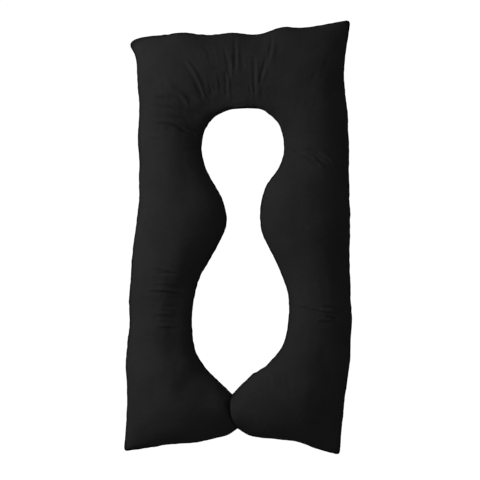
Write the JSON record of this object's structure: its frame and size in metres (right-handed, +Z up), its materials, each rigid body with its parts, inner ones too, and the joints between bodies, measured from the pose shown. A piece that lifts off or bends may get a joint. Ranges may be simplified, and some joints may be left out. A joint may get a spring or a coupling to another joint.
{
  "type": "body pillow",
  "caption": "Black U-shaped body pillow with a keyhole middle and pinched corners, to lie in with head, belly and knees held.",
  "frame": {"origin": "on the resting surface, under the middle of the pillow's outline", "axes": "+Z up out of the surface, +Y from the leg tips to the arch, +X to the right arm, seen from above"},
  "size_m": [0.6898, 1.314, 0.172],
  "materials": {
    "black_cotton": "matte plain-woven black cotton over a soft fibre filling"
  },
  "bodies": {
    "root": {"body_pillow": "black_cotton"}
  },
  "joints": []
}
